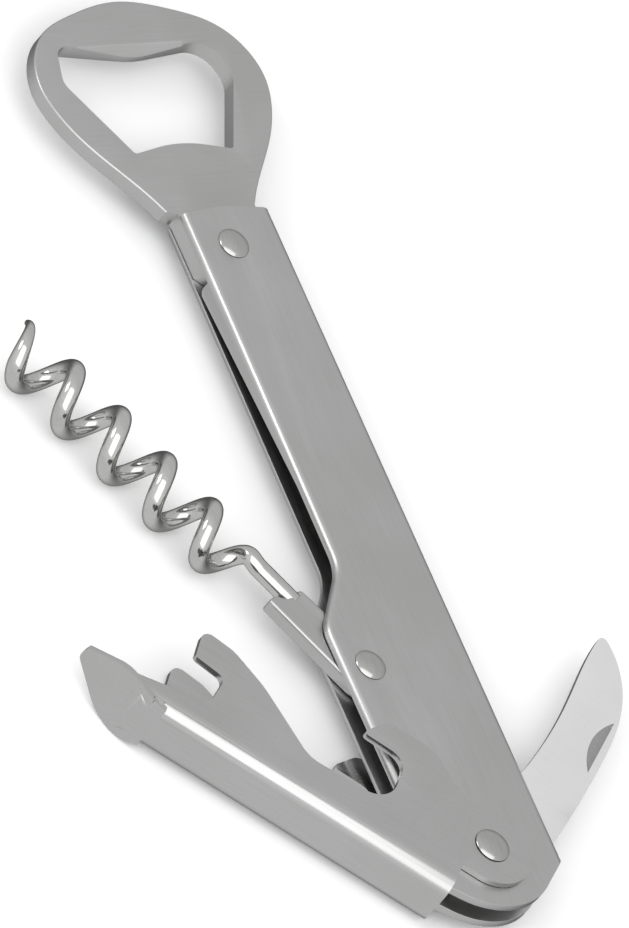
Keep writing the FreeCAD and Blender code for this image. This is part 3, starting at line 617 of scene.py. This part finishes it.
class CORKSCREW_OT_clip(bpy.types.Operator):
    """Folded clip that carries the worm"""
    bl_idname = "corkscrew.clip"
    bl_label = "Worm clip"

    def execute(self, context):
        sheet = context.scene.corkscrew_sheet
        mesh = softened("worm_bracket", sheet.clip_edge, sheet.sharp_angle)
        angle = context.scene.corkscrew_coil.angle
        settle("worm_clip", mesh, "worm_arm", satin_sheet(angle, "stainless_430_clip"), "worm_bracket")
        return {"FINISHED"}


NICK_MARGIN = 0.02
FACING_UP = 0.5


def mark_nick(mesh, blade):
    """Gives the nail nick's sunken face the darker, rougher steel."""
    mesh.materials.append(darker_nick_face())
    pivot = Vector(JOINTS["knife_hinge"]["pos_m"])
    to_blade = Matrix.Rotation(-blade.angle, 4, "Z") @ Matrix.Translation(-pivot)
    for polygon in mesh.polygons:
        spot = to_blade @ polygon.center / MM
        inside = blade.nick_from < spot.x < blade.nick_to and 0 < spot.z < blade.face - NICK_MARGIN
        if inside and polygon.normal.z > FACING_UP:
            polygon.material_index = 1


class CORKSCREW_OT_knife(bpy.types.Operator):
    """Foil knife and the two washers that centre it"""
    bl_idname = "corkscrew.knife"
    bl_label = "Foil knife"

    def execute(self, context):
        sheet = context.scene.corkscrew_sheet
        mesh = softened("knife_blade", sheet.blade_edge, sheet.sharp_angle)
        blade = context.scene.corkscrew_blade
        settle("foil_blade", mesh, "knife", ground_blade_painted_reflection(math.radians(90) + blade.angle), "knife_blade")
        mark_nick(mesh, blade)
        washers = satin_sheet(0.0, "zinc_plated_washer")
        for node in ("knife_washer_front", "knife_washer_back"):
            frame["nodes"][node].data.materials.clear()
            frame["nodes"][node].data.materials.append(washers)
        return {"FINISHED"}


# ------------------------------------------------------------------- stage

FLOOR_GAP = 0.2 * MM
NEAR_SIDE = (-0.555, 0.832, 0.0)
AIM = (-0.75 * MM, -9.15 * MM, MIDDLE_PLANE)


def soft_light(name, place, target, side, power):
    """Square area light at a place, turned to a target."""
    lamp = bpy.data.lights.new(name, "AREA")
    lamp.shape = "SQUARE"
    lamp.size = side
    lamp.energy = power
    light = bpy.data.objects.new(name, lamp)
    light.location = place
    light.rotation_euler = (Vector(target) - Vector(place)).to_track_quat("-Z", "Y").to_euler()
    bpy.context.scene.collection.objects.link(light)


def studio_sky():
    """Soft tent: pale above and on the near side, dark low down on the far side."""
    world = bpy.data.worlds.new("studio_sky")
    world.use_nodes = True
    tree = world.node_tree
    tree.nodes.clear()
    place = add(tree, "ShaderNodeTexCoord").outputs["Generated"]
    height = add(tree, "ShaderNodeSeparateXYZ", links={"Vector": place}).outputs["Z"]
    toward = add(tree, "ShaderNodeVectorMath", {"operation": "DOT_PRODUCT"}, {"Vector": place})
    toward.inputs[1].default_value = NEAR_SIDE
    near = toward.outputs["Value"]
    low = add(tree, "ShaderNodeMapRange", {"interpolation_type": "SMOOTHSTEP"}, {"Value": near},
              From_Min=-0.85, From_Max=0.35, To_Min=0.10, To_Max=0.88)
    high = add(tree, "ShaderNodeMapRange", {"interpolation_type": "SMOOTHSTEP"}, {"Value": near},
               From_Min=-0.9, From_Max=0.7, To_Min=0.76, To_Max=1.05)
    raised = add(tree, "ShaderNodeMapRange", {"interpolation_type": "SMOOTHSTEP"}, {"Value": height},
                 From_Min=-0.45, From_Max=0.35)
    shade = add(tree, "ShaderNodeMix", {"data_type": "FLOAT"},
                {"Factor": raised.outputs["Result"], "A": low.outputs["Result"],
                 "B": high.outputs["Result"]})
    glow = add(tree, "ShaderNodeBackground", links={"Strength": shade.outputs["Result"]},
               Color=(1.0, 1.0, 1.0, 1.0))
    add(tree, "ShaderNodeOutputWorld", links={"Surface": glow.outputs["Background"]})
    bpy.context.scene.world = world


def aim_camera(stage, target):
    """Long-lens camera looking at the target from the given direction."""
    flat = math.cos(stage.elevation)
    back = Vector((math.sin(stage.azimuth) * flat, -math.cos(stage.azimuth) * flat,
                   math.sin(stage.elevation)))
    level = Vector((0, 0, 1)).cross(back).normalized()
    upright = back.cross(level)
    right = level * math.cos(stage.roll) + upright * math.sin(stage.roll)
    up = back.cross(right)
    lens = bpy.data.cameras.new("camera")
    lens.sensor_fit = "VERTICAL"
    lens.angle_y = 2 * math.atan(stage.view_height / 2 / stage.distance)
    lens.clip_end = 40
    camera = bpy.data.objects.new("camera", lens)
    turn = Matrix((right, up, back)).transposed().to_4x4()
    camera.matrix_world = Matrix.Translation(target + back * stage.distance) @ turn
    bpy.context.scene.collection.objects.link(camera)
    bpy.context.scene.camera = camera


class CORKSCREW_OT_stage(bpy.types.Operator):
    """Pale floor, soft lights and the camera"""
    bl_idname = "corkscrew.stage"
    bl_label = "Stage"

    def execute(self, context):
        stage = context.scene.corkscrew_stage
        bpy.ops.mesh.primitive_plane_add(size=stage.floor_size, location=(0, 0, CAD_BOX[0][2] - FLOOR_GAP))
        floor = context.object
        floor.name = "floor"
        floor.data.materials.append(floor_paper())
        floor.visible_glossy = False
        aim = Vector(AIM)
        aim_camera(stage, aim)
        soft_light("key", (-0.55, 0.45, 0.75), aim, 1.3, 6.5)
        soft_light("side", (0.6, 0.75, 0.55), aim, 0.4, 2.2)
        studio_sky()
        context.scene.view_settings.view_transform = "Standard"
        return {"FINISHED"}


class CORKSCREW_PT_pieces(bpy.types.Panel):
    """Builds each piece of the corkscrew"""
    bl_label = "Corkscrew"
    bl_idname = "CORKSCREW_PT_pieces"
    bl_space_type = "VIEW_3D"
    bl_region_type = "UI"
    bl_category = "Corkscrew"

    def draw(self, context):
        for operator in OPERATORS:
            self.layout.operator(operator.bl_idname)
        for group in GROUPS:
            settings = getattr(context.scene, group)
            for name in settings.__annotations__:
                self.layout.prop(settings, name)


GROUPS = {
    "corkscrew_sheet": CorkscrewSheet,
    "corkscrew_coil": CorkscrewCoil,
    "corkscrew_rivets": CorkscrewRivets,
    "corkscrew_blade": CorkscrewBlade,
    "corkscrew_stage": CorkscrewStage,
}
OPERATORS = (CORKSCREW_OT_channel, CORKSCREW_OT_opener, CORKSCREW_OT_lever, CORKSCREW_OT_clip,
             CORKSCREW_OT_worm, CORKSCREW_OT_knife, CORKSCREW_OT_rivets, CORKSCREW_OT_stage)


def register():
    """Makes the settings, the operators and the panel known to Blender."""
    for group in GROUPS.values():
        bpy.utils.register_class(group)
    for name, group in GROUPS.items():
        setattr(bpy.types.Scene, name, bpy.props.PointerProperty(type=group))
    for operator in OPERATORS:
        bpy.utils.register_class(operator)
    bpy.utils.register_class(CORKSCREW_PT_pieces)


def unregister():
    """Takes everything back in the opposite order."""
    bpy.utils.unregister_class(CORKSCREW_PT_pieces)
    for operator in reversed(OPERATORS):
        bpy.utils.unregister_class(operator)
    for name, group in GROUPS.items():
        delattr(bpy.types.Scene, name)
        bpy.utils.unregister_class(group)


def main():
    """Builds every piece and the stage."""
    register()
    for operator in OPERATORS:
        group, _, name = operator.bl_idname.partition(".")
        getattr(getattr(bpy.ops, group), name)()


if __name__ == "__main__":
    main()
